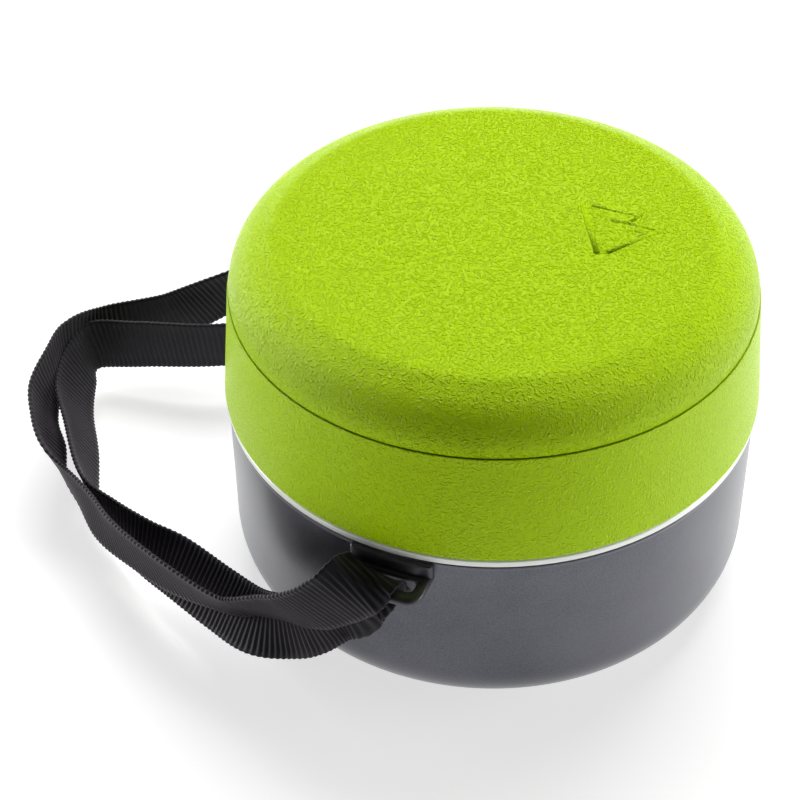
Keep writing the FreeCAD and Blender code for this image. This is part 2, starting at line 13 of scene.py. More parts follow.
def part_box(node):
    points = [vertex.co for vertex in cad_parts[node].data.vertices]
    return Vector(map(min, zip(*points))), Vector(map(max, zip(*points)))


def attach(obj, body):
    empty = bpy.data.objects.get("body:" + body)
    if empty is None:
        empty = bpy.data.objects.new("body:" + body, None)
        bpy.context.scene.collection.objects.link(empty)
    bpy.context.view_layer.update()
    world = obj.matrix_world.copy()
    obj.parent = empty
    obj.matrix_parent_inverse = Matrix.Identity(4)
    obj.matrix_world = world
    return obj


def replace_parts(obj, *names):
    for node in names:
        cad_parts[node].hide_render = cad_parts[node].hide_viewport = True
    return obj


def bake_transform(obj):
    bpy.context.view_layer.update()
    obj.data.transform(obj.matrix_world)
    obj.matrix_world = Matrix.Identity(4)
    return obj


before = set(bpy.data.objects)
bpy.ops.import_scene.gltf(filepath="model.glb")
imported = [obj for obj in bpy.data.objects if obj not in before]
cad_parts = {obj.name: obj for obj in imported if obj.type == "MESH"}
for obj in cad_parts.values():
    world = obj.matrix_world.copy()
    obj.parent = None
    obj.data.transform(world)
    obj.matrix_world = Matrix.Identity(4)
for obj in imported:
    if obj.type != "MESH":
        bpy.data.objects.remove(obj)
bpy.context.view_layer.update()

MM = 0.001
UP = Vector((0, 0, 1))


# ---------------------------------------------------------------- heights taken from the CAD frame

def top_of(node):
    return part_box(node)[1].z


def foot_of(node):
    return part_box(node)[0].z


# ---------------------------------------------------------------- mesh helpers

ROUND_STEPS = 256
ON_AXIS = 1e-9
BEVEL_SEGMENTS = 3
BEVEL_ANGLE = math.radians(30)


def new_piece(name, mesh, material, body=None, smooth=True):
    piece = bpy.data.objects.new(name, mesh)
    bpy.context.collection.objects.link(piece)
    mesh.materials.append(material)
    for face in mesh.polygons:
        face.use_smooth = smooth
    if body:
        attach(piece, body)
    return piece


def mesh_from(name, points, faces):
    mesh = bpy.data.meshes.new(name)
    mesh.from_pydata(points, [], faces)
    mesh.update()
    return mesh


def solid_from(name, points, faces):
    """Closed mesh with its faces turned outwards."""
    mesh = mesh_from(name, points, faces)
    work = bmesh.new()
    work.from_mesh(mesh)
    bmesh.ops.recalc_face_normals(work, faces=work.faces)
    work.to_mesh(mesh)
    work.free()
    return mesh


def skin(rings, size, closed):
    """Quads between neighbouring rings of points. A closed skin joins the last ring to the first."""
    faces = []
    for ring in range(rings if closed else rings - 1):
        this, after = ring * size, (ring + 1) % rings * size
        for index in range(size):
            beside = (index + 1) % size
            faces.append((this + index, this + beside, after + beside, after + index))
    return faces


def end_faces(rings, size):
    """The two faces that shut an open skin."""
    return [tuple(range(size)), tuple(range((rings - 1) * size, rings * size))]


def corner_arc(before, here, after, radius, steps):
    """Points of the arc that rounds the corner here, between the corners before and after it."""
    back = (before - here).normalized()
    ahead = (after - here).normalized()
    half_angle = back.angle(ahead) / 2
    reach = radius / math.tan(half_angle)
    centre = here + (back + ahead).normalized() * (radius / math.sin(half_angle))
    first = here + back * reach - centre
    last = here + ahead * reach - centre
    sweep = first.angle_signed(last)
    return [centre + Matrix.Rotation(-sweep * step / steps, 2) @ first for step in range(steps + 1)]


def rounded(corners, steps):
    """Closed outline: each corner is (u, v) or (u, v, radius), and a radius makes an arc there."""
    outline = []
    for index, corner in enumerate(corners):
        here = Vector(corner[:2])
        if len(corner) == 2:
            outline.append(here)
            continue
        before = Vector(corners[index - 1][:2])
        after = Vector(corners[(index + 1) % len(corners)][:2])
        outline += corner_arc(before, here, after, corner[2], steps)
    return outline


def faces_between(ring, other, turns):
    """Faces from one ring of a turned piece to the next. A ring on the axis is a single point."""
    if len(ring) == 1 and len(other) == 1:
        return []
    faces = []
    for turn in range(turns):
        after = (turn + 1) % turns
        if len(ring) == 1:
            faces.append((ring[0], other[turn], other[after]))
        elif len(other) == 1:
            faces.append((ring[turn], other[0], ring[after]))
        else:
            faces.append((ring[turn], other[turn], other[after], ring[after]))
    return faces


def lathe(name, corners, steps, turns=ROUND_STEPS):
    """Turned piece from an outline of (radius, height) corners, with radius 0 on the axis."""
    points, rings = [], []
    for radius, height in rounded(corners, steps):
        size = 1 if radius < ON_AXIS else turns
        rings.append(range(len(points), len(points) + size))
        for turn in range(size):
            angle = 2 * math.pi * turn / turns
            points.append((radius * math.cos(angle), radius * math.sin(angle), height))
    faces = []
    for ring, other in zip(rings, rings[1:] + rings[:1]):
        faces += faces_between(ring, other, turns)
    return solid_from(name, points, faces)


def tube(name, path, radius, sides):
    """Round wire along a list of points, with flat ends."""
    points = []
    normal = UP
    for index, centre in enumerate(path):
        ahead = path[min(index + 1, len(path) - 1)]
        behind = path[max(index - 1, 0)]
        along = (ahead - behind).normalized()
        normal = (normal - along * normal.dot(along)).normalized()
        across = along.cross(normal)
        for side in range(sides):
            angle = 2 * math.pi * side / sides
            points.append(centre + (normal * math.cos(angle) + across * math.sin(angle)) * radius)
    faces = skin(len(path), sides, closed=False) + end_faces(len(path), sides)
    return solid_from(name, points, faces)


def add_bevel(piece, width):
    bevel = piece.modifiers.new("edge", "BEVEL")
    bevel.width = width
    bevel.segments = BEVEL_SEGMENTS
    bevel.limit_method = "ANGLE"
    bevel.angle_limit = BEVEL_ANGLE


# ---------------------------------------------------------------- materials

# Nearly all of Blender's noise lies between these two values. A roughness runs its range over them.
NOISE_LOW, NOISE_HIGH = 0.3, 0.7

# Sockets of the Mix node when it mixes colours.
MIX_FACTOR, MIX_FIRST, MIX_SECOND, MIX_RESULT = 0, 6, 7, 2

# The cover's grain goes from its strength on the wall to its full strength between these heights.
GRAIN_CHANGE_LOW, GRAIN_CHANGE_HIGH = 97 * MM, 104 * MM
WALL_GRAIN = 0.62

# Smudges on bare metal are this share of its colour.
SMUDGE_SHARE = 0.88


class Shader:
    """A node material with short ways to add and link nodes."""

    def __init__(self, name):
        self.material = bpy.data.materials.new(name)
        self.material.use_nodes = True
        self.tree = self.material.node_tree
        self.surface = self.tree.nodes["Principled BSDF"]
        self.place = self.tree.nodes.new("ShaderNodeTexCoord").outputs["Object"]

    def set(self, **values):
        for name, value in values.items():
            self.surface.inputs[name.replace("_", " ")].default_value = value

    def node(self, kind, **settings):
        made = self.tree.nodes.new(kind)
        for name, value in settings.items():
            setattr(made, name, value)
        return made

    def link(self, source, target):
        self.tree.links.new(source, target)

    def stretched(self, scale):
        mapping = self.node("ShaderNodeMapping")
        mapping.inputs["Scale"].default_value = scale
        self.link(self.place, mapping.inputs["Vector"])
        return mapping.outputs["Vector"]

    def noise(self, scale, detail=2.0, roughness=0.5, distortion=0.0, place=None):
        made = self.node("ShaderNodeTexNoise")
        made.inputs["Scale"].default_value = scale
        made.inputs["Detail"].default_value = detail
        made.inputs["Roughness"].default_value = roughness
        made.inputs["Distortion"].default_value = distortion
        self.link(place or self.place, made.inputs["Vector"])
        return made.outputs["Fac"]

    def math(self, operation, *values):
        made = self.node("ShaderNodeMath", operation=operation)
        for index, value in enumerate(values):
            if isinstance(value, (int, float)):
                made.inputs[index].default_value = value
            else:
                self.link(value, made.inputs[index])
        return made.outputs[0]

    def weighted(self, first, first_weight, second, second_weight):
        """first x its weight + second x its weight; a weight is a number or another node's output."""
        weighted_first = self.math("MULTIPLY", first, first_weight)
        weighted_second = self.math("MULTIPLY", second, second_weight)
        return self.math("ADD", weighted_first, weighted_second)

    def ranged(self, value, from_low, from_high, to_low, to_high):
        made = self.node("ShaderNodeMapRange", clamp=True)
        self.link(value, made.inputs["Value"])
        made.inputs["From Min"].default_value = from_low
        made.inputs["From Max"].default_value = from_high
        made.inputs["To Min"].default_value = to_low
        made.inputs["To Max"].default_value = to_high
        return made.outputs["Result"]

    def height(self):
        made = self.node("ShaderNodeSeparateXYZ")
        self.link(self.place, made.inputs[0])
        return made.outputs["Z"]

    def colour(self, factor, first, second):
        """Base colour that runs from first to second with the factor."""
        made = self.node("ShaderNodeMix", data_type="RGBA")
        self.link(factor, made.inputs[MIX_FACTOR])
        made.inputs[MIX_FIRST].default_value = (*first, 1)
        made.inputs[MIX_SECOND].default_value = (*second, 1)
        self.link(made.outputs[MIX_RESULT], self.surface.inputs["Base Color"])

    def roughness(self, noise, low, high):
        self.link(self.ranged(noise, NOISE_LOW, NOISE_HIGH, low, high), self.surface.inputs["Roughness"])

    def bump(self, height, distance, strength):
        made = self.node("ShaderNodeBump")
        made.inputs["Strength"].default_value = strength
        made.inputs["Distance"].default_value = distance
        self.link(height, made.inputs["Height"])
        self.link(made.outputs["Normal"], self.surface.inputs["Normal"])


def cover_plastic():
    """Green moulded plastic with a pebbled grain, weaker on the wall than on the top and shoulder."""
    shade = Shader("cover_plastic")
    shade.set(IOR=1.33, Specular_IOR_Level=0.36, Specular_Tint=(0.9, 1.0, 0.35, 1))
    coarse = shade.noise(1250.0, detail=1.5, distortion=0.35)
    folds = shade.math("ABSOLUTE", shade.math("SUBTRACT", coarse, 0.5))
    creases = shade.ranged(folds, 0.0, 0.13, 1.0, 0.0)
    fine = shade.noise(2300.0, roughness=0.6)
    wall_to_top = shade.ranged(shade.height(), GRAIN_CHANGE_LOW, GRAIN_CHANGE_HIGH, WALL_GRAIN, 1.0)
    pebbles = shade.weighted(coarse, 1.5, creases, -0.28)
    grain = shade.weighted(pebbles, wall_to_top, fine, 0.30)
    shade.bump(grain, distance=0.80 * MM, strength=1.0)
    cloud = shade.noise(16.0, detail=3.0)
    tone = shade.weighted(cloud, 0.4, coarse, 0.6)
    shade.colour(tone, (0.420, 0.655, 0.000), (0.520, 0.800, 0.000))
    shade.roughness(fine, 0.25, 0.34)
    return shade.material


def anodised(name, low, high, rough_low, rough_high, coat):
    """Satin hard-anodised aluminium with a fine blasted speckle."""
    shade = Shader(name)
    shade.set(Metallic=1.0, Coat_Weight=coat, Coat_Roughness=0.30, Coat_IOR=1.5)
    speckle = shade.noise(3200.0, roughness=0.6)
    cloud = shade.noise(22.0, detail=3.0)
    blend = shade.weighted(speckle, 0.6, cloud, 0.4)
    shade.colour(shade.ranged(blend, 0.40, 0.60, 0.0, 1.0), low, high)
    shade.roughness(speckle, rough_low, rough_high)
    shade.bump(speckle, distance=0.03 * MM, strength=0.5)
    return shade.material


def bright_metal(name, colour, rough, brushed=(1, 1, 60), metallic=1.0):
    """Bare metal with fine drawn lines and faint smudges."""
    shade = Shader(name)
    shade.set(Metallic=metallic)
    smudge = shade.noise(60.0, detail=3.0)
    dull = tuple(channel * SMUDGE_SHARE for channel in colour)
    shade.colour(smudge, dull, colour)
    lines = shade.noise(120.0, place=shade.stretched(brushed))
    shade.roughness(lines, rough * 0.8, rough * 1.2)
    shade.bump(lines, distance=0.01 * MM, strength=0.35)
    return shade.material


def webbing_cloth():
    """Black nylon webbing. Its ribs are in the mesh, and this adds the yarn's fuzz and sheen."""
    shade = Shader("webbing")
    shade.set(Sheen_Weight=0.2, Sheen_Roughness=0.45, Sheen_Tint=(0.85, 0.75, 0.85, 1))
    shade.set(Specular_IOR_Level=0.22)
    yarn = shade.noise(2600.0, detail=3.0, roughness=0.6)
    patch = shade.noise(45.0)
    blend = shade.weighted(yarn, 0.5, patch, 0.5)
    tone = shade.ranged(blend, 0.35, 0.65, 0.0, 1.0)
    shade.colour(tone, (0.009, 0.008, 0.011), (0.022, 0.019, 0.026))
    shade.roughness(yarn, 0.48, 0.66)
    shade.bump(yarn, distance=0.08 * MM, strength=0.6)
    return shade.material


def lug_metal():
    """Glossy dark-coated pressed steel, rubbed lighter in faint patches."""
    shade = Shader("lug_metal")
    shade.set(Metallic=0.2, Specular_IOR_Level=0.7)
    rub = shade.noise(240.0, detail=4.0, roughness=0.6)
    shade.colour(rub, (0.034, 0.033, 0.040), (0.070, 0.067, 0.078))
    shade.roughness(rub, 0.36, 0.50)
    shade.bump(shade.noise(1500.0), distance=0.02 * MM, strength=0.4)
    return shade.material


def cup_plastic():
    """Pale grey moulded plastic with a fine matt texture."""
    shade = Shader("cup_plastic")
    fine = shade.noise(2400.0, roughness=0.6)
    tone = shade.noise(20.0)
    shade.colour(tone, (0.50, 0.52, 0.53), (0.58, 0.60, 0.61))
    shade.roughness(fine, 0.42, 0.56)
    shade.bump(fine, distance=0.04 * MM, strength=0.6)
    return shade.material


GREEN = cover_plastic()
POT_METAL = anodised("pot_metal", (0.058, 0.060, 0.074), (0.122, 0.123, 0.148), 0.30, 0.44, 0.60)
INNER_METAL = anodised("inner_metal", (0.10, 0.10, 0.11), (0.16, 0.16, 0.175), 0.32, 0.44, 0.2)
LID_METAL = bright_metal("lid_metal", (0.95, 0.97, 0.92), 0.42, metallic=0.30)
RIVET_METAL = bright_metal("rivet_metal", (0.62, 0.62, 0.64), 0.32)
STEEL = bright_metal("steel", (0.56, 0.56, 0.58), 0.24)
GRIP_METAL = bright_metal("gripper_metal", (0.50, 0.51, 0.53), 0.36, (1, 60, 1))
WEBBING = webbing_cloth()
LUG_METAL = lug_metal()
CUP = cup_plastic()


# ---------------------------------------------------------------- turned pieces

POT_RADIUS = 79.0 * MM
POT_CORNER = 17.5 * MM
INNER_POT_RADIUS = 72.0 * MM
INNER_POT_CORNER = 14.0 * MM
POT_WALL = 1.2 * MM
POT_BEAD = 1.4 * MM
BEAD_PROUD = 0.15 * MM
BASE_RAISED = 0.3 * MM
BASE_RING_INNER = 0.30
BASE_RING_OUTER = 0.33


def build_cover_plate():
    """Top of the cover: slightly dished, with a broad shoulder and a side that draws in to the seam."""
    top, seam = top_of("cover_plate"), foot_of("cover_plate")
    radius, wall, corner, dish, lip = 77.5 * MM, 2.2 * MM, 15.5 * MM, 0.7 * MM, 0.25 * MM
    flat = radius - corner * 0.92
    side = radius + 0.3 * MM
    edge = radius - 0.9 * MM
    shoulder = top - corner * 0.45
    mesh = lathe("plastic_plate", [
        (0, top - dish),
        (flat, top, 8.5 * MM),
        (side, shoulder, 15 * MM),
        (edge, seam, lip),
        (edge - wall, seam, lip),
        (edge - wall, shoulder - wall, 13 * MM),
        (radius - corner, top - wall, 10 * MM),
        (0, top - dish - wall),
    ], steps=16)
    piece = new_piece("plastic_plate", mesh, GREEN, "plate")
    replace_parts(piece, "cover_plate")


def build_cover_bowl():
    """Wall of the cover: a bowl turned mouth down, with a neck that goes up into the plate."""
    top, mouth = top_of("cover_bowl"), foot_of("cover_bowl")
    step = foot_of("cover_plate") - 0.03 * MM
    foot, shoulder, neck, wall = 80 * MM, 77 * MM, 73.6 * MM, 2 * MM
    mesh = lathe("plastic_bowl", [
        (foot - wall, mouth, 0.6 * MM),
        (foot, mouth, 0.8 * MM),
        (shoulder, step, 0.3 * MM),
        (neck, step, 0.4 * MM),
        (neck, top, 11 * MM),
        (0, top),
        (0, top - wall),
        (neck - wall, top - wall, 9 * MM),
        (neck - wall, step - wall, 1 * MM),
        (shoulder - wall, step - wall, 1 * MM),
    ], steps=10)
    piece = new_piece("plastic_bowl", mesh, GREEN, "bowl")
    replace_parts(piece, "cover_bowl")


def vessel(name, node, radius, corner):
    """Straight-walled pot with a rim bead, a rounded foot and a raised middle in its base."""
    foot, rim = foot_of(node), top_of(node)
    inner, floor = radius - POT_WALL, foot + POT_WALL
    ring_inner, ring_outer = radius * BASE_RING_INNER, radius * BASE_RING_OUTER
    bead = radius + BEAD_PROUD
    return lathe(name, [
        (0, foot + BASE_RAISED),
        (ring_inner, foot + BASE_RAISED, 1 * MM),
        (ring_outer, foot, 1 * MM),
        (radius, foot, corner),
        (radius, rim - POT_BEAD, 0.4 * MM),
        (bead, rim - POT_BEAD * 0.6, 0.5 * MM),
        (bead, rim, 0.5 * MM),
        (inner, rim, 0.5 * MM),
        (inner, floor, corner - POT_WALL),
        (ring_outer, floor, 1 * MM),
        (ring_inner, floor + BASE_RAISED, 1 * MM),
        (0, floor + BASE_RAISED),
    ], steps=12)


def build_pots():
    mesh = vessel("anodised_pot", "pot_body", POT_RADIUS, POT_CORNER)
    piece = new_piece("anodised_pot", mesh, POT_METAL, "pot")
    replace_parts(piece, "pot_body")
    mesh = vessel("nested_inner_pot", "inner_pot", INNER_POT_RADIUS, INNER_POT_CORNER)
    piece = new_piece("nested_inner_pot", mesh, INNER_METAL, "nested_pot")
    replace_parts(piece, "inner_pot")


def build_cup():
    """Tapered cup with a raised base and a band round its mouth."""
    low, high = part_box("cup")
    foot, mouth, wall = 36 * MM, 42 * MM, 2 * MM
    bottom, top = low.z, high.z
    base = bottom + 0.8 * MM
    mesh = lathe("drinking_cup_shell", [
        (0, base),
        (foot - 6 * MM, base, 1 * MM),
        (foot - 5 * MM, bottom, 1 * MM),
        (foot, bottom, 4 * MM),
        (mouth - 0.6 * MM, top - 4 * MM, 0.5 * MM),
        (mouth, top - 3.4 * MM, 0.4 * MM),
        (mouth, top, 0.9 * MM),
        (mouth - wall, top, 0.9 * MM),
        (foot - wall, bottom + wall, 4 * MM),
        (0, bottom + wall),
    ], steps=10, turns=160)
    for vertex in mesh.vertices:
        vertex.co.x += (low.x + high.x) / 2
    piece = new_piece("drinking_cup_shell", mesh, CUP, "drinking_cup")
    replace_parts(piece, "cup")


def build_lid():
    """Flat lid with a bright ring on the pot's rim, a spigot inside the pot and a pressed ridge."""
    ring_foot, top = 61.75 * MM, top_of("pot_lid")
    panel = foot_of("pot_lid") + 1.0 * MM
    under = panel - 1 * MM
    ridge = panel + 0.6 * MM
    ring, inner, spigot = 79.6 * MM, 76.3 * MM, 77.3 * MM
    mesh = lathe("lid_with_ring", [
        (0, under),
        (spigot, under, 0.9 * MM),
        (spigot, ring_foot, 0.1 * MM),
        (ring, ring_foot, 0.7 * MM),
        (ring, top, 0.8 * MM),
        (inner, top, 0.5 * MM),
        (inner, panel, 1.5 * MM),
        (70 * MM, panel, 1.5 * MM),
        (68 * MM, ridge, 1.5 * MM),
        (64 * MM, ridge, 1.5 * MM),
        (62 * MM, panel, 1.5 * MM),
        (0, panel),
    ], steps=8)
    piece = new_piece("lid_with_ring", mesh, LID_METAL, "lid")
    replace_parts(piece, "pot_lid")


build_cover_plate()
build_cover_bowl()
build_pots()
build_cup()
build_lid()


# ---------------------------------------------------------------- emblem on the plate

EMBLEM_PLACE = (33 * MM, 17 * MM)
EMBLEM_SINK = 0.28 * MM
EMBLEM_TURN = math.radians(-62)
EMBLEM_SCALE = 1.12 * MM
EMBLEM_RIDGE = 0.9 * MM
EMBLEM_FLATTEN = 0.62

# Two peaks, a base line and a snow line, drawn about the emblem's middle.
EMBLEM_STROKES = [
    [(-10, -6), (-3.5, 5.5), (-0.8, 1.2)],
    [(-3.2, -2.2), (3.4, 8.5), (10.5, -6)],
    [(-10.5, -8.6), (10.5, -8.6)],
    [(1.0, 4.6), (2.6, 3.2), (4.0, 4.8), (5.4, 3.4)],
]


def build_emblem():
    """Plain raised outline of two peaks on a base line, moulded into the plate's top."""
    centre = Vector((*EMBLEM_PLACE, top_of("cover_plate") - EMBLEM_SINK))
    turn = Matrix.Rotation(EMBLEM_TURN, 3, "Z")
    for index, stroke in enumerate(EMBLEM_STROKES):
        path = [centre + turn @ Vector((u * EMBLEM_SCALE, v * EMBLEM_SCALE, 0)) for u, v in stroke]
        mesh = tube(f"peak_line_{index}", path, EMBLEM_RIDGE, sides=12)
        for vertex in mesh.vertices:
            vertex.co.z = centre.z + (vertex.co.z - centre.z) * EMBLEM_FLATTEN
        new_piece(f"peak_line_{index}", mesh, GREEN, "plate")


build_emblem()


# ---------------------------------------------------------------- lugs

LUG_HALF = 12.3 * MM
LEG_HALF = 7.5 * MM
TAB_TOP = 57.0 * MM
TAB_THICK = 2.6 * MM
BAR_OUTER = 91.0 * MM
BAR_CORNER = 4.6 * MM
ROOT_CORNER = 0.5 * MM
SLOT_INNER = 82.0 * MM
SLOT_OUTER = 86.6 * MM
SLOT_HALF = 9.0 * MM
SLOT_INNER_CORNER = 1.2 * MM
SLOT_OUTER_CORNER = 1.8 * MM
FLANGE_THICK = 2.0 * MM
LEG_THICK = 1.9 * MM

# Section of the tab between its outer edge and its slot: a superellipse, flatter on its two faces.
TAB_SIDES = 12
TAB_ACROSS_POWER = 0.55
TAB_HEIGHT_POWER = 0.75

# Layers of a curved plate: the outline's scale about its middle, and the share of the thickness.
PLATE_LAYERS = [(1.0, 0.6), (0.97, 0.9), (0.90, 1.0), (0.6, 1.0), (0.3, 1.0)]
PLATE_LIFT = 0.02 * MM
PLATE_TOP_CORNER = 0.6 * MM


def loop_plate(outer, inner, low, high):
    """Rounded frame between two outlines with equal point counts, such as a tab round its slot."""
    points = []
    for out, within in zip(outer, inner):
        middle = (out + within) / 2
        half = (out - within) / 2
        for side in range(TAB_SIDES):
            angle = 2 * math.pi * side / TAB_SIDES
            u, v = math.cos(angle), math.sin(angle)
            u = math.copysign(abs(u) ** TAB_ACROSS_POWER, u)
            v = math.copysign(abs(v) ** TAB_HEIGHT_POWER, v)
            spot = middle + half * u
            points.append((spot.x, spot.y, (low + high) / 2 + (high - low) / 2 * v))
    return points, skin(len(outer), TAB_SIDES, closed=True)


def curved_plate(half_width, low, high, thick, corner):
    """Sheet bent to the pot's wall, with its lower corners rounded and its edges eased."""
    outline = rounded([
        (-half_width, low, corner), (half_width, low, corner),
        (half_width, high, PLATE_TOP_CORNER), (-half_width, high, PLATE_TOP_CORNER),
    ], steps=6)
    centre = Vector((0, (low + high) / 2))
    layers = [(1.0, PLATE_LIFT)] + [(scale, thick * share) for scale, share in PLATE_LAYERS]
    points = []
    for scale, out in layers:
        for spot in outline:
            x, z = centre + (spot - centre) * scale
            points.append((x, -math.sqrt((POT_RADIUS + out) ** 2 - x * x), z))
    faces = skin(len(layers), len(outline), closed=False) + end_faces(len(layers), len(outline))
    return points, faces


def tab_outline(half, near, far, near_corner, far_corner):
    """Rounded rectangle seen from above, between two distances from the pot's axis."""
    return rounded([
        (half, -near, near_corner), (half, -far, far_corner),
        (-half, -far, far_corner), (-half, -near, near_corner),
    ], steps=8)


def build_lug(name, node, sign):
    """Bracket with a slotted tab, a short flange above the tab and a narrow leg below it."""
    outer = tab_outline(LUG_HALF, POT_RADIUS, BAR_OUTER, ROOT_CORNER, BAR_CORNER)
    inner = tab_outline(SLOT_HALF, SLOT_INNER, SLOT_OUTER, SLOT_INNER_CORNER, SLOT_OUTER_CORNER)
    tab_foot = TAB_TOP - TAB_THICK
    parts = [
        loop_plate(outer, inner, tab_foot, TAB_TOP),
        curved_plate(LUG_HALF, tab_foot, top_of(node), FLANGE_THICK, 0.8 * MM),
        curved_plate(LEG_HALF, foot_of(node), TAB_TOP, LEG_THICK, 2.5 * MM),
    ]
    points, faces = [], []
    for part_points, part_faces in parts:
        start = len(points)
        points += [(x * sign, y * sign, z) for x, y, z in part_points]
        faces += [tuple(start + index for index in face) for face in part_faces]
    mesh = solid_from(name, points, faces)
    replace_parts(new_piece(name, mesh, LUG_METAL, "pot"), node)


build_lug("front_lug_bracket", "front_strap_lug", 1)
build_lug("rear_lug_bracket", "rear_strap_lug", -1)


# ---------------------------------------------------------------- rivets

LUG_RIVET_HALF = 4.0 * MM
LUG_RIVET_HEIGHT = 49.5 * MM
LUG_RIVET_FOOT = POT_RADIUS + 1.5 * MM
LUG_RIVET_RADIUS = 2.6 * MM
LID_RIVET_HALF = 10.5 * MM
LID_RIVET_RADIUS = 3.0 * MM
LID_RIVET_TOP_FOOT = 59.4 * MM
LID_RIVET_TAIL_FOOT = 57.0 * MM


def dome(name, centre, out, radius, height, material, body):
    """Rivet head: a low dome with a small step, along the direction out."""
    mesh = lathe(name, [
        (0, height),
        (radius * 0.75, height, radius * 0.6),
        (radius, height * 0.25, 0.3 * MM),
        (radius, 0),
        (0, 0),
    ], steps=8, turns=40)
    turn = UP.rotation_difference(Vector(out)).to_matrix().to_4x4()
    mesh.transform(Matrix.Translation(centre) @ turn)
    return new_piece(name, mesh, material, body)


def build_lug_rivets(label, node, sign):
    """Two heads on the lug's leg. The first one stands for the CAD node."""
    heads = []
    for side in (-1, 1):
        spot = Vector((LUG_RIVET_HALF * side, sign * LUG_RIVET_FOOT, LUG_RIVET_HEIGHT))
        name = f"{label}_lug_rivet_{side + 2}"
        heads.append(dome(name, spot, (0, sign, 0), LUG_RIVET_RADIUS, 1.5 * MM, LUG_METAL, "pot"))
    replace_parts(heads[0], node)


def build_lid_rivets():
    """Two heads on top of the lid and their tails below it. The first head stands for the CAD node."""
    heads = []
    for side in (-1, 1):
        spot = Vector((0, LID_RIVET_HALF * side, LID_RIVET_TOP_FOOT))
        name = f"lid_rivet_top_{side + 2}"
        heads.append(dome(name, spot, (0, 0, 1), LID_RIVET_RADIUS, 1.1 * MM, RIVET_METAL, "lid"))
        spot = Vector((0, LID_RIVET_HALF * side, LID_RIVET_TAIL_FOOT))
        name = f"lid_rivet_tail_{side + 2}"
        dome(name, spot, (0, 0, -1), LID_RIVET_RADIUS, 1.0 * MM, RIVET_METAL, "lid")
    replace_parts(heads[0], "lid_rivets")


build_lug_rivets("front", "front_lug_rivets", -1)
build_lug_rivets("rear", "rear_lug_rivets", 1)
build_lid_rivets()


# ---------------------------------------------------------------- small metal parts kept from the CAD

def keep_node(node, material, bevel=0.0):
    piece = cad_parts[node]
    for index in range(len(piece.material_slots)):
        piece.material_slots[index].link = "OBJECT"
        piece.material_slots[index].material = material
    if bevel:
        add_bevel(piece, bevel)


keep_node("lid_loop_saddle", STEEL, 0.4 * MM)
keep_node("lid_loop_handle", STEEL)
keep_node("gripper_lower_arm", GRIP_METAL, 0.3 * MM)
keep_node("gripper_upper_arm", GRIP_METAL, 0.3 * MM)
keep_node("gripper_pivot_pin", STEEL, 0.25 * MM)


# ---------------------------------------------------------------- the gripper's spring

SPRING_WIRE = 0.7 * MM
SPRING_TURNS = 4
SPRING_STEPS = 40


def build_spring():
    """Coil that fills the spring's box in the CAD, along X."""
    low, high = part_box("gripper_spring")
    middle = (low + high) / 2
    ring = (high.z - low.z) / 2 - SPRING_WIRE
    start, length = low.x + SPRING_WIRE, high.x - low.x - 2 * SPRING_WIRE
    count = SPRING_TURNS * SPRING_STEPS
    path = []
    for step in range(count + 1):
        angle = 2 * math.pi * step / SPRING_STEPS
        y, z = middle.y + ring * math.cos(angle), middle.z + ring * math.sin(angle)
        path.append(Vector((start + length * step / count, y, z)))
    mesh = tube("coil_spring", path, SPRING_WIRE, sides=10)
    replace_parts(new_piece("coil_spring", mesh, STEEL, "gripper"), "gripper_spring")


build_spring()


# ---------------------------------------------------------------- webbing strap

WEB_HALF = 9.6 * MM
WEB_THICK = 1.2 * MM
RIB_PITCH = 1.8 * MM
RIB_STEPS = 6
RIB_PROUD = 0.25 * MM

# Half thickness of the webbing as a share of WEB_THICK / 2: at the bottom of a rib, and what the rib
# adds. The selvedge is flatter than the middle, and its outermost points are thinner again.
MIDDLE_THICKNESS = (0.35, 0.75)
SELVEDGE_THICKNESS = (0.80, 0.30)
SELVEDGE_START = 0.85
OUTER_EDGE_SHARE = 0.55
ACROSS = (-1.0, -0.97, -0.9, -0.8, -0.5, 0.0, 0.5, 0.8, 0.9, 0.97, 1.0)

# The line is measured in LENGTH_STEPS pieces per station, and its direction over DIRECTION_REACH
# stations to each side.
LENGTH_STEPS = 24
DIRECTION_REACH = 0.02

# Free stations are (x, y, z, lean) in millimetres and degrees: the webbing's middle, and how far its
# top edge leans outwards. Both strands run from the front lug round the left to the rear lug.
UPPER = [
    (-43, -85.8, 29.2, 33), (-53, -84.5, 26.5, 28), (-74, -78.5, 24, 14),
    (-94, -69, 21, 8), (-109, -59.5, 19, 0), (-121.5, -50, 18.5, 10),
    (-131, -44, 22, 20), (-138, -35, 24, 27), (-145.5, -24.5, 25, 20),
    (-149.8, -10, 25.6, 8), (-152.4, 4.8, 24.2, 4), (-147, 20.4, 21.2, 2),
    (-127, 32.5, 24.6, -4), (-107.3, 41, 35, -12), (-87, 57, 42.6, -14),
    (-61, 73, 50.5, -3), (-38, 84.5, 50.5, 4), (-23, 91.5, 51.5, 10),
]
LOWER = [
    (-43, -82, 19.8, -40), (-58, -75, 16.6, -40), (-76, -67.5, 16, -35),
    (-89, -63, 15, -20), (-103.5, -56, 14, -5), (-117.5, -47, 15, 13),
    (-132, -26, 16, 28), (-143, -10.5, 16, 32), (-148.5, 4.5, 17, 22),
    (-148.6, 14.2, 18.2, 4), (-131.2, 17.4, 21.6, 0), (-103.4, 24.6, 24.3, -5),
    (-78, 44, 24, 0), (-56, 66, 24, -10), (-41, 79, 22, -20),
]

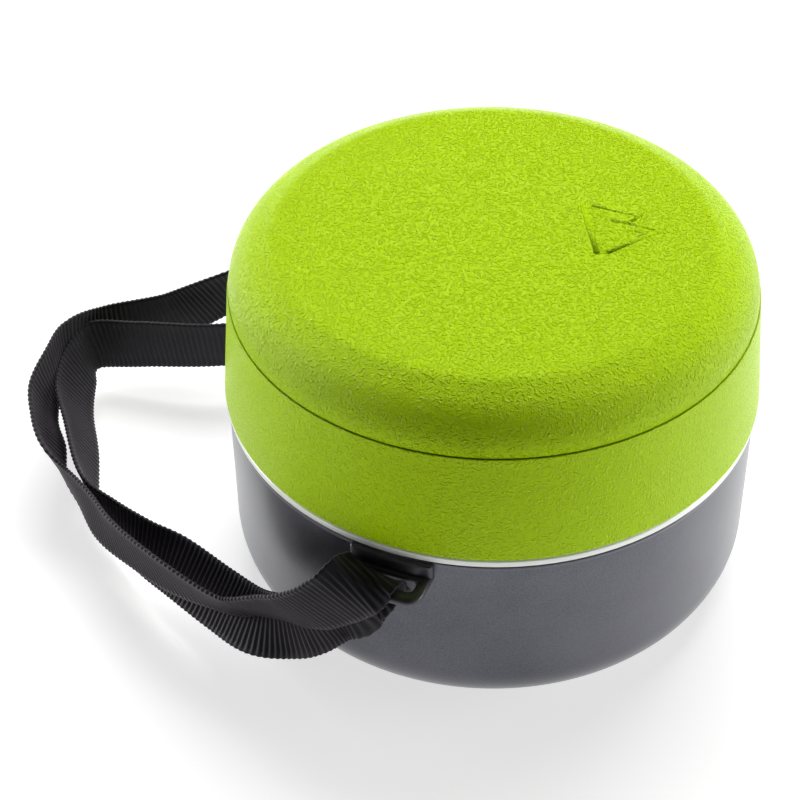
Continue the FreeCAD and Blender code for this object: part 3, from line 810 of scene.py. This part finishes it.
# The fold round the front lug's bar, from the upper strand to the lower one: the webbing's middle in
# millimetres, the direction across it towards its top edge, and its share of the full width there.
FOLD = [
    ((-33, -88.5, 34.8), (-0.11, -0.45, 0.89), 1.0),
    ((-26, -91, 39.4), (-0.18, -0.38, 0.91), 1.0),
    ((-19.6, -92.6, 44.2), (-0.3, -0.27, 0.91), 1.0),
    ((-13.6, -93.2, 49.8), (-0.41, -0.2, 0.88), 1.0),
    ((-9.3, -93.2, 54.4), (-0.52, -0.05, 0.84), 1.0),
    ((-5.8, -91.2, 58.2), (-0.68, 0.28, 0.62), 1.0),
    ((-3.6, -86.8, 59.2), (-0.86, 0.46, 0.12), 0.98),
    ((-1.9, -84, 57.2), (-0.95, 0.2, 0), 0.86),
    ((-1.6, -84, 54.6), (-1, 0, 0), 0.80),
    ((-3.4, -85.6, 52.2), (-1, 0, 0), 0.88),
    ((-6.4, -87.2, 49.4), (-1, 0, 0.03), 0.95),
    ((-8.8, -88.4, 45.2), (-0.98, 0, 0.12), 1.0),
    ((-15.2, -88.8, 40.8), (-0.8, 0.1, 0.55), 1.0),
    ((-23, -87.4, 32), (-0.42, 0.28, 0.86), 1.0),
    ((-30.5, -85.2, 25.8), (-0.1, 0.38, 0.92), 1.0),
]
REAR_FOLD_START = 4


def free_stations(stations):
    """(middle, direction across towards the top edge, width) of each station of a free strand."""
    centres = [Vector(station[:3]) * MM for station in stations]
    made = []
    for index, station in enumerate(stations):
        ahead = centres[min(index + 1, len(centres) - 1)]
        behind = centres[max(index - 1, 0)]
        along = (ahead - behind).normalized()
        outward = along.cross(UP).normalized()
        if outward.dot(Vector((station[0], station[1], 0))) < 0:
            outward = -outward
        lean = math.radians(station[3])
        across = UP * math.cos(lean) + outward * math.sin(lean)
        made.append((centres[index], across, 1.0))
    return made


def fold_stations(side):
    """The fold at the front (side 1), or its mirror image at the rear (side -1).

    At the rear the upper strand comes in level, so its first stations are left out.
    """
    made = []
    for centre, across, width in FOLD[0 if side > 0 else REAR_FOLD_START:]:
        x, y, z = centre
        u, v, w = across
        made.append((Vector((x, y * side, z)) * MM, Vector((u, v * side, w)).normalized(), width))
    return made


def strap_line():
    """Closed list of stations: upper strand, rear fold, lower strand back to the front, front fold."""
    front = fold_stations(1)
    return free_stations(UPPER) + fold_stations(-1) + free_stations(LOWER)[::-1] + front[::-1]


def smooth(values, position):
    """Catmull-Rom through a closed list of vectors."""
    index = int(math.floor(position))
    t = position - index
    a, b, c, d = (values[(index + offset) % len(values)] for offset in (-1, 0, 1, 2))
    linear = (c - a) * t
    square = (2 * a - 5 * b + 4 * c - d) * t * t
    cube = (3 * b - a - 3 * c + d) * t ** 3
    return 0.5 * (2 * b + linear + square + cube)


def even_positions(centres):
    """Positions along the line, equal lengths apart, with RIB_STEPS of them to each whole rib."""
    steps = len(centres) * LENGTH_STEPS
    dense = [smooth(centres, step / LENGTH_STEPS) for step in range(steps + 1)]
    lengths = [0.0]
    for first, second in zip(dense, dense[1:]):
        lengths.append(lengths[-1] + (second - first).length)
    total = lengths[-1]
    sections = round(total / RIB_PITCH) * RIB_STEPS
    positions = []
    at = 0
    for section in range(sections):
        want = total * section / sections
        while lengths[at + 1] < want:
            at += 1
        part = (want - lengths[at]) / (lengths[at + 1] - lengths[at])
        positions.append((at + part) / LENGTH_STEPS)
    return positions


def half_thickness(u, rib):
    """Half of the webbing's thickness at u across it, from -1 to 1, and at a rib height from 0 to 1."""
    base, rise = SELVEDGE_THICKNESS if abs(u) > SELVEDGE_START else MIDDLE_THICKNESS
    thick = WEB_THICK / 2 * (base + rise * rib)
    return thick * OUTER_EDGE_SHARE if abs(u) == 1.0 else thick


def web_ring(centre, along, across, width, rib):
    """Points round one section of the webbing: one face from edge to edge, then the other back."""
    normal = across.cross(along).normalized()
    half = WEB_HALF * width + RIB_PROUD * rib
    ring = []
    for face, places in ((1, ACROSS), (-1, ACROSS[::-1])):
        for u in places:
            thick = half_thickness(u, rib)
            ring.append(centre + across * (u * half) + normal * (face * thick))
    return ring


def build_strap():
    """One closed loop of ribbed webbing through both lugs."""
    line = strap_line()
    centres = [station[0] for station in line]
    acrosses = [station[1] for station in line]
    widths = [Vector((station[2], 0)) for station in line]
    positions = even_positions(centres)
    points = []
    for section, position in enumerate(positions):
        ahead = smooth(centres, position + DIRECTION_REACH)
        behind = smooth(centres, position - DIRECTION_REACH)
        along = (ahead - behind).normalized()
        across = smooth(acrosses, position)
        across = (across - along * across.dot(along)).normalized()
        rib = 0.5 + 0.5 * math.cos(2 * math.pi * section / RIB_STEPS)
        points += web_ring(smooth(centres, position), along, across, smooth(widths, position).x, rib)
    mesh = solid_from("webbing_strap", points, skin(len(positions), 2 * len(ACROSS), closed=True))
    piece = new_piece("webbing_strap", mesh, WEBBING)
    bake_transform(piece)
    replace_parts(piece, "strap_upper_strand", "strap_lower_strand", "strap_front_anchor", "strap_rear_anchor")


build_strap()


# ---------------------------------------------------------------- floor and light

FLOOR_HALF = 3.0
FLOOR_DROP = 0.2 * MM
LIGHT_AIM = (0, 0, 0.05)
WORLD_STRENGTH = 0.05


def build_floor():
    """White paper under the set, a hair below its foot."""
    half = FLOOR_HALF
    corners = [(-half, -half, 0), (half, -half, 0), (half, half, 0), (-half, half, 0)]
    mesh = mesh_from("floor", corners, [(0, 1, 2, 3)])
    shade = Shader("floor_paper")
    shade.set(Base_Color=(0.55, 0.55, 0.55, 1), Roughness=0.9, Specular_IOR_Level=0.0)
    shade.set(Emission_Color=(1, 1, 1, 1), Emission_Strength=0.66)
    floor = new_piece("floor", mesh, shade.material, smooth=False)
    floor.location.z = -FLOOR_DROP


def add_softbox(name, place, size, power):
    light = bpy.data.lights.new(name, "AREA")
    light.shape = "RECTANGLE"
    light.size, light.size_y = size
    light.energy = power
    lamp = bpy.data.objects.new(name, light)
    bpy.context.collection.objects.link(lamp)
    lamp.location = place
    lamp.rotation_mode = "QUATERNION"
    lamp.rotation_quaternion = (Vector(LIGHT_AIM) - Vector(place)).to_track_quat("-Z", "Y")


def build_light():
    world = bpy.data.worlds.new("studio")
    bpy.context.scene.world = world
    world.use_nodes = True
    background = world.node_tree.nodes["Background"]
    background.inputs["Color"].default_value = (1, 1, 1, 1)
    background.inputs["Strength"].default_value = WORLD_STRENGTH
    add_softbox("overhead", (-0.14, 0.72, 1.10), (1.1, 0.85), 23)
    add_softbox("left", (-1.1, 0.05, 0.16), (0.8, 0.3), 9)
    add_softbox("right", (1.0, 0.45, 0.16), (0.6, 0.3), 7.5)


# ---------------------------------------------------------------- camera

CAMERA_AZIMUTH = math.radians(22.8)
CAMERA_ELEVATION = math.radians(41.4)
CAMERA_DISTANCE = 0.6247
CAMERA_ROLL = -0.017
AIM_LEFT = 0.0275
AIM_HEIGHT = 0.05334
LENS = 92.33
SENSOR_WIDTH = 36
CLIP_START = 0.01


def build_camera():
    """Camera that looks at a point to the left of the pot's axis, slightly rolled."""
    a, e = CAMERA_AZIMUTH, CAMERA_ELEVATION
    right = Vector((math.cos(a), math.sin(a), 0))
    back = Vector((math.sin(a) * math.cos(e), -math.cos(a) * math.cos(e), math.sin(e)))
    aim = UP * AIM_HEIGHT - right * AIM_LEFT
    up = back.cross(right)
    tilted_right = right * math.cos(CAMERA_ROLL) + up * math.sin(CAMERA_ROLL)
    tilted_up = up * math.cos(CAMERA_ROLL) - right * math.sin(CAMERA_ROLL)
    data = bpy.data.cameras.new("camera")
    data.lens = LENS
    data.sensor_width = SENSOR_WIDTH
    data.clip_start = CLIP_START
    camera = bpy.data.objects.new("camera", data)
    bpy.context.collection.objects.link(camera)
    turn = Matrix((tilted_right, tilted_up, back)).transposed().to_4x4()
    camera.matrix_world = Matrix.Translation(aim + back * CAMERA_DISTANCE) @ turn
    bpy.context.scene.camera = camera


build_floor()
build_light()
build_camera()
bpy.context.scene.view_settings.view_transform = "Standard"
